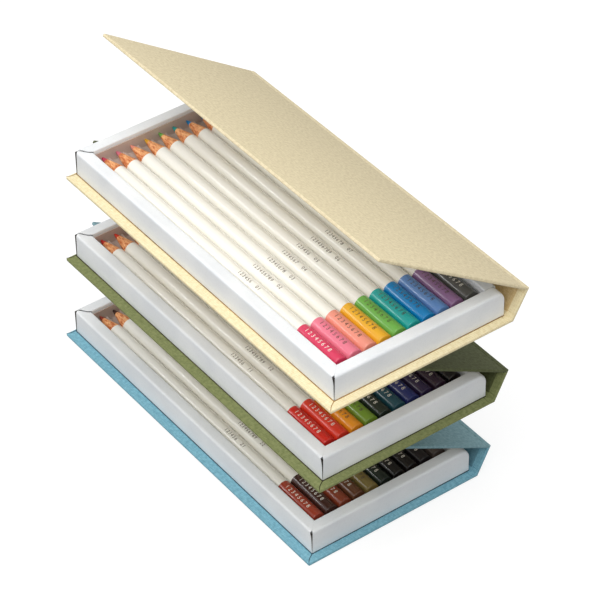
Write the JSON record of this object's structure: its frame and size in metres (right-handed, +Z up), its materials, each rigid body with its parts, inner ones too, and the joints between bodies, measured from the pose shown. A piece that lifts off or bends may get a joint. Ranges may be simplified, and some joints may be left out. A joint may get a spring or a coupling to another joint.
{
  "type": "book-style pencil box set",
  "caption": "Stack of book-style boxes with hinged paper-covered lids, each holding a card tray and a row of round colouring pencils.",
  "frame": {"origin": "under the middle of the lowest tray, on the face the stack stands on", "axes": "+X across the pencils towards the spines, +Y along the pencils towards their tips, +Z up"},
  "size_m": [0.1158, 0.232, 0.1906],
  "materials": {
    "card": "white matte card",
    "greyboard": "bare greyboard",
    "insert_paper": "light grey formed sheet, matte",
    "lining_paper": "plain pale lining paper",
    "bottom_cover_paper": "laid texture, matte",
    "middle_cover_paper": "laid texture, matte",
    "top_cover_paper": "laid texture, matte",
    "bottom_pencil_01_lacquer": "white lacquered barrel with a dipped cap in this colour and bare cedar at the point",
    "bottom_pencil_02_lacquer": "white lacquered barrel with a dipped cap in this colour and bare cedar at the point",
    "bottom_pencil_03_lacquer": "white lacquered barrel with a dipped cap in this colour and bare cedar at the point",
    "bottom_pencil_04_lacquer": "white lacquered barrel with a dipped cap in this colour and bare cedar at the point",
    "bottom_pencil_05_lacquer": "white lacquered barrel with a dipped cap in this colour and bare cedar at the point",
    "bottom_pencil_06_lacquer": "white lacquered barrel with a dipped cap in this colour and bare cedar at the point",
    "bottom_pencil_07_lacquer": "white lacquered barrel with a dipped cap in this colour and bare cedar at the point",
    "bottom_pencil_08_lacquer": "white lacquered barrel with a dipped cap in this colour and bare cedar at the point",
    "bottom_pencil_09_lacquer": "white lacquered barrel with a dipped cap in this colour and bare cedar at the point",
    "bottom_pencil_10_lacquer": "white lacquered barrel with a dipped cap in this colour and bare cedar at the point",
    "middle_pencil_01_lacquer": "white lacquered barrel with a dipped cap in this colour and bare cedar at the point",
    "middle_pencil_02_lacquer": "white lacquered barrel with a dipped cap in this colour and bare cedar at the point",
    "middle_pencil_03_lacquer": "white lacquered barrel with a dipped cap in this colour and bare cedar at the point",
    "middle_pencil_04_lacquer": "white lacquered barrel with a dipped cap in this colour and bare cedar at the point",
    "middle_pencil_05_lacquer": "white lacquered barrel with a dipped cap in this colour and bare cedar at the point",
    "middle_pencil_06_lacquer": "white lacquered barrel with a dipped cap in this colour and bare cedar at the point",
    "middle_pencil_07_lacquer": "white lacquered barrel with a dipped cap in this colour and bare cedar at the point",
    "middle_pencil_08_lacquer": "white lacquered barrel with a dipped cap in this colour and bare cedar at the point",
    "middle_pencil_09_lacquer": "white lacquered barrel with a dipped cap in this colour and bare cedar at the point",
    "middle_pencil_10_lacquer": "white lacquered barrel with a dipped cap in this colour and bare cedar at the point",
    "top_pencil_01_lacquer": "white lacquered barrel with a dipped cap in this colour and bare cedar at the point",
    "top_pencil_02_lacquer": "white lacquered barrel with a dipped cap in this colour and bare cedar at the point",
    "top_pencil_03_lacquer": "white lacquered barrel with a dipped cap in this colour and bare cedar at the point",
    "top_pencil_04_lacquer": "white lacquered barrel with a dipped cap in this colour and bare cedar at the point",
    "top_pencil_05_lacquer": "white lacquered barrel with a dipped cap in this colour and bare cedar at the point",
    "top_pencil_06_lacquer": "white lacquered barrel with a dipped cap in this colour and bare cedar at the point",
    "top_pencil_07_lacquer": "white lacquered barrel with a dipped cap in this colour and bare cedar at the point",
    "top_pencil_08_lacquer": "white lacquered barrel with a dipped cap in this colour and bare cedar at the point",
    "top_pencil_09_lacquer": "white lacquered barrel with a dipped cap in this colour and bare cedar at the point",
    "top_pencil_10_lacquer": "white lacquered barrel with a dipped cap in this colour and bare cedar at the point"
  },
  "bodies": {
    "bottom_base": {"bottom_base_board": "greyboard", "bottom_base_cover": "bottom_cover_paper", "bottom_tray": "card", "bottom_insert": "insert_paper"},
    "bottom_spine": {"bottom_spine_board": "greyboard", "bottom_spine_cover": "bottom_cover_paper"},
    "bottom_lid": {"bottom_lid_board": "greyboard", "bottom_lid_cover": "bottom_cover_paper", "bottom_lid_lining": "lining_paper"},
    "bottom_pencil_01": {"bottom_pencil_01": "bottom_pencil_01_lacquer"},
    "bottom_pencil_02": {"bottom_pencil_02": "bottom_pencil_02_lacquer"},
    "bottom_pencil_03": {"bottom_pencil_03": "bottom_pencil_03_lacquer"},
    "bottom_pencil_04": {"bottom_pencil_04": "bottom_pencil_04_lacquer"},
    "bottom_pencil_05": {"bottom_pencil_05": "bottom_pencil_05_lacquer"},
    "bottom_pencil_06": {"bottom_pencil_06": "bottom_pencil_06_lacquer"},
    "bottom_pencil_07": {"bottom_pencil_07": "bottom_pencil_07_lacquer"},
    "bottom_pencil_08": {"bottom_pencil_08": "bottom_pencil_08_lacquer"},
    "bottom_pencil_09": {"bottom_pencil_09": "bottom_pencil_09_lacquer"},
    "bottom_pencil_10": {"bottom_pencil_10": "bottom_pencil_10_lacquer"},
    "middle_base": {"middle_base_board": "greyboard", "middle_base_cover": "middle_cover_paper", "middle_tray": "card", "middle_insert": "insert_paper"},
    "middle_spine": {"middle_spine_board": "greyboard", "middle_spine_cover": "middle_cover_paper"},
    "middle_lid": {"middle_lid_board": "greyboard", "middle_lid_cover": "middle_cover_paper", "middle_lid_lining": "lining_paper"},
    "middle_pencil_01": {"middle_pencil_01": "middle_pencil_01_lacquer"},
    "middle_pencil_02": {"middle_pencil_02": "middle_pencil_02_lacquer"},
    "middle_pencil_03": {"middle_pencil_03": "middle_pencil_03_lacquer"},
    "middle_pencil_04": {"middle_pencil_04": "middle_pencil_04_lacquer"},
    "middle_pencil_05": {"middle_pencil_05": "middle_pencil_05_lacquer"},
    "middle_pencil_06": {"middle_pencil_06": "middle_pencil_06_lacquer"},
    "middle_pencil_07": {"middle_pencil_07": "middle_pencil_07_lacquer"},
    "middle_pencil_08": {"middle_pencil_08": "middle_pencil_08_lacquer"},
    "middle_pencil_09": {"middle_pencil_09": "middle_pencil_09_lacquer"},
    "middle_pencil_10": {"middle_pencil_10": "middle_pencil_10_lacquer"},
    "top_base": {"top_base_board": "greyboard", "top_base_cover": "top_cover_paper", "top_tray": "card", "top_insert": "insert_paper"},
    "top_spine": {"top_spine_board": "greyboard", "top_spine_cover": "top_cover_paper"},
    "top_lid": {"top_lid_board": "greyboard", "top_lid_cover": "top_cover_paper", "top_lid_lining": "lining_paper"},
    "top_pencil_01": {"top_pencil_01": "top_pencil_01_lacquer"},
    "top_pencil_02": {"top_pencil_02": "top_pencil_02_lacquer"},
    "top_pencil_03": {"top_pencil_03": "top_pencil_03_lacquer"},
    "top_pencil_04": {"top_pencil_04": "top_pencil_04_lacquer"},
    "top_pencil_05": {"top_pencil_05": "top_pencil_05_lacquer"},
    "top_pencil_06": {"top_pencil_06": "top_pencil_06_lacquer"},
    "top_pencil_07": {"top_pencil_07": "top_pencil_07_lacquer"},
    "top_pencil_08": {"top_pencil_08": "top_pencil_08_lacquer"},
    "top_pencil_09": {"top_pencil_09": "top_pencil_09_lacquer"},
    "top_pencil_10": {"top_pencil_10": "top_pencil_10_lacquer"}
  },
  "joints": [
    {"name": "bottom_spine_hinge", "type": "hinge", "parent": "bottom_base", "child": "bottom_spine", "pos_m": [0.0463, -0.0016, 0], "axis": [0, 1, 0], "range_deg": [-27, 0]},
    {"name": "bottom_lid_hinge", "type": "hinge", "parent": "bottom_spine", "child": "bottom_lid", "pos_m": [0.05375, -0.0016, 0.01461], "axis": [0, 1, 0], "range_deg": [-2, 0]},
    {"name": "bottom_pencil_01_lift", "type": "slide", "parent": "bottom_base", "child": "bottom_pencil_01", "axis": [0, 0, 1], "range_m": [0, 0.0095]},
    {"name": "bottom_pencil_02_lift", "type": "slide", "parent": "bottom_base", "child": "bottom_pencil_02", "axis": [0, 0, 1], "range_m": [0, 0.0095]},
    {"name": "bottom_pencil_03_lift", "type": "slide", "parent": "bottom_base", "child": "bottom_pencil_03", "axis": [0, 0, 1], "range_m": [0, 0.0095]},
    {"name": "bottom_pencil_04_lift", "type": "slide", "parent": "bottom_base", "child": "bottom_pencil_04", "axis": [0, 0, 1], "range_m": [0, 0.0095]},
    {"name": "bottom_pencil_05_lift", "type": "slide", "parent": "bottom_base", "child": "bottom_pencil_05", "axis": [0, 0, 1], "range_m": [0, 0.0095]},
    {"name": "bottom_pencil_06_lift", "type": "slide", "parent": "bottom_base", "child": "bottom_pencil_06", "axis": [0, 0, 1], "range_m": [0, 0.0095]},
    {"name": "bottom_pencil_07_lift", "type": "slide", "parent": "bottom_base", "child": "bottom_pencil_07", "axis": [0, 0, 1], "range_m": [0, 0.0095]},
    {"name": "bottom_pencil_08_lift", "type": "slide", "parent": "bottom_base", "child": "bottom_pencil_08", "axis": [0, 0, 1], "range_m": [0, 0.0095]},
    {"name": "bottom_pencil_09_lift", "type": "slide", "parent": "bottom_base", "child": "bottom_pencil_09", "axis": [0, 0, 1], "range_m": [0, 0.0095]},
    {"name": "bottom_pencil_10_lift", "type": "slide", "parent": "bottom_base", "child": "bottom_pencil_10", "axis": [0, 0, 1], "range_m": [0, 0.0075]},
    {"name": "middle_lift", "type": "slide", "parent": "bottom_base", "child": "middle_base", "axis": [0, 0, 1], "range_m": [0, 0.06]},
    {"name": "middle_spine_hinge", "type": "hinge", "parent": "middle_base", "child": "middle_spine", "pos_m": [0.0398, -0.0192, 0.06116], "axis": [0, 1, 0], "range_deg": [-27, 0]},
    {"name": "middle_lid_hinge", "type": "hinge", "parent": "middle_spine", "child": "middle_lid", "pos_m": [0.04725, -0.0192, 0.07578], "axis": [0, 1, 0], "range_deg": [-2, 0]},
    {"name": "middle_pencil_01_lift", "type": "slide", "parent": "middle_base", "child": "middle_pencil_01", "axis": [0, 0, 1], "range_m": [0, 0.0095]},
    {"name": "middle_pencil_02_lift", "type": "slide", "parent": "middle_base", "child": "middle_pencil_02", "axis": [0, 0, 1], "range_m": [0, 0.0095]},
    {"name": "middle_pencil_03_lift", "type": "slide", "parent": "middle_base", "child": "middle_pencil_03", "axis": [0, 0, 1], "range_m": [0, 0.0095]},
    {"name": "middle_pencil_04_lift", "type": "slide", "parent": "middle_base", "child": "middle_pencil_04", "axis": [0, 0, 1], "range_m": [0, 0.0095]},
    {"name": "middle_pencil_05_lift", "type": "slide", "parent": "middle_base", "child": "middle_pencil_05", "axis": [0, 0, 1], "range_m": [0, 0.0095]},
    {"name": "middle_pencil_06_lift", "type": "slide", "parent": "middle_base", "child": "middle_pencil_06", "axis": [0, 0, 1], "range_m": [0, 0.0095]},
    {"name": "middle_pencil_07_lift", "type": "slide", "parent": "middle_base", "child": "middle_pencil_07", "axis": [0, 0, 1], "range_m": [0, 0.0095]},
    {"name": "middle_pencil_08_lift", "type": "slide", "parent": "middle_base", "child": "middle_pencil_08", "axis": [0, 0, 1], "range_m": [0, 0.0095]},
    {"name": "middle_pencil_09_lift", "type": "slide", "parent": "middle_base", "child": "middle_pencil_09", "axis": [0, 0, 1], "range_m": [0, 0.0095]},
    {"name": "middle_pencil_10_lift", "type": "slide", "parent": "middle_base", "child": "middle_pencil_10", "axis": [0, 0, 1], "range_m": [0, 0.0075]},
    {"name": "top_lift", "type": "slide", "parent": "middle_base", "child": "top_base", "axis": [0, 0, 1], "range_m": [0, 0.06]},
    {"name": "top_spine_hinge", "type": "hinge", "parent": "top_base", "child": "top_spine", "pos_m": [0.0333, -0.0368, 0.12233], "axis": [0, 1, 0], "range_deg": [-29.5, 60.5]},
    {"name": "top_lid_hinge", "type": "hinge", "parent": "top_spine", "child": "top_lid", "pos_m": [0.04138, -0.0368, 0.1366], "axis": [0, 1, 0], "range_deg": [-5, 85]},
    {"name": "top_pencil_01_lift", "type": "slide", "parent": "top_base", "child": "top_pencil_01", "axis": [0, 0, 1], "range_m": [0, 0.0095]},
    {"name": "top_pencil_02_lift", "type": "slide", "parent": "top_base", "child": "top_pencil_02", "axis": [0, 0, 1], "range_m": [0, 0.0095]},
    {"name": "top_pencil_03_lift", "type": "slide", "parent": "top_base", "child": "top_pencil_03", "axis": [0, 0, 1], "range_m": [0, 0.0095]},
    {"name": "top_pencil_04_lift", "type": "slide", "parent": "top_base", "child": "top_pencil_04", "axis": [0, 0, 1], "range_m": [0, 0.0095]},
    {"name": "top_pencil_05_lift", "type": "slide", "parent": "top_base", "child": "top_pencil_05", "axis": [0, 0, 1], "range_m": [0, 0.0095]},
    {"name": "top_pencil_06_lift", "type": "slide", "parent": "top_base", "child": "top_pencil_06", "axis": [0, 0, 1], "range_m": [0, 0.0095]},
    {"name": "top_pencil_07_lift", "type": "slide", "parent": "top_base", "child": "top_pencil_07", "axis": [0, 0, 1], "range_m": [0, 0.0095]},
    {"name": "top_pencil_08_lift", "type": "slide", "parent": "top_base", "child": "top_pencil_08", "axis": [0, 0, 1], "range_m": [0, 0.0095]},
    {"name": "top_pencil_09_lift", "type": "slide", "parent": "top_base", "child": "top_pencil_09", "axis": [0, 0, 1], "range_m": [0, 0.0095]},
    {"name": "top_pencil_10_lift", "type": "slide", "parent": "top_base", "child": "top_pencil_10", "axis": [0, 0, 1], "range_m": [0, 0.0095]}
  ]
}
